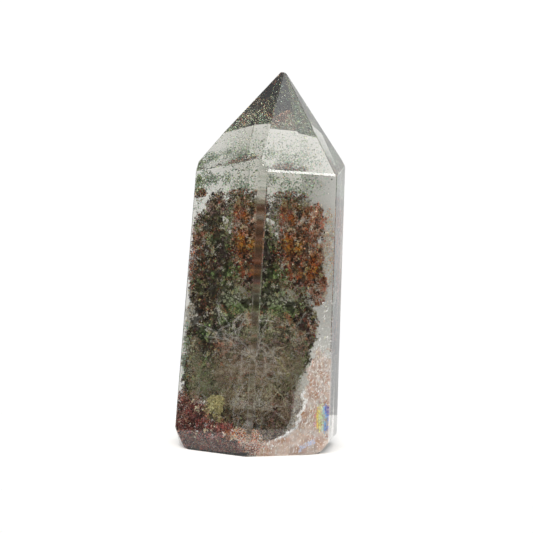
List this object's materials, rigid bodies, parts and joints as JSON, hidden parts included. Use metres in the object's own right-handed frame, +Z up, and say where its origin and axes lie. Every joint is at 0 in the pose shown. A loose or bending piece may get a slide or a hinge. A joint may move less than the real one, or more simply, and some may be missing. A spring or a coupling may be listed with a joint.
{
  "type": "chlorite quartz crystal",
  "caption": "Free-standing clear quartz point with a flat base, ground side facets and a pyramid tip, holding a sealed garden of green chlorite and rust-brown iron oxide.",
  "frame": {"origin": "middle of the stone's plan outline, at the height of its flat base", "axes": "+Z up from the base to the tip; -Y is the front, where the narrow strip facet and the two broad front facets are; +X to the right"},
  "size_m": [0.028, 0.0282, 0.0651],
  "materials": {
    "clear_quartz": "polished, clear, faintly warm grey",
    "chlorite": "granular, dull green to grey-green",
    "iron_oxide": "granular, rust brown with orange flecks",
    "hematite": "granular, purple brown with pale and red flecks",
    "pale_fibres": "fine pale fibres and dust, a soft grey-beige haze"
  },
  "bodies": {
    "root": {"quartz_lower": "clear_quartz", "quartz_upper": "clear_quartz", "chlorite_garden": "chlorite", "iron_oxide_cloud": "iron_oxide", "hematite_base_mass": "hematite", "pale_fibre_veil": "pale_fibres"}
  },
  "joints": []
}
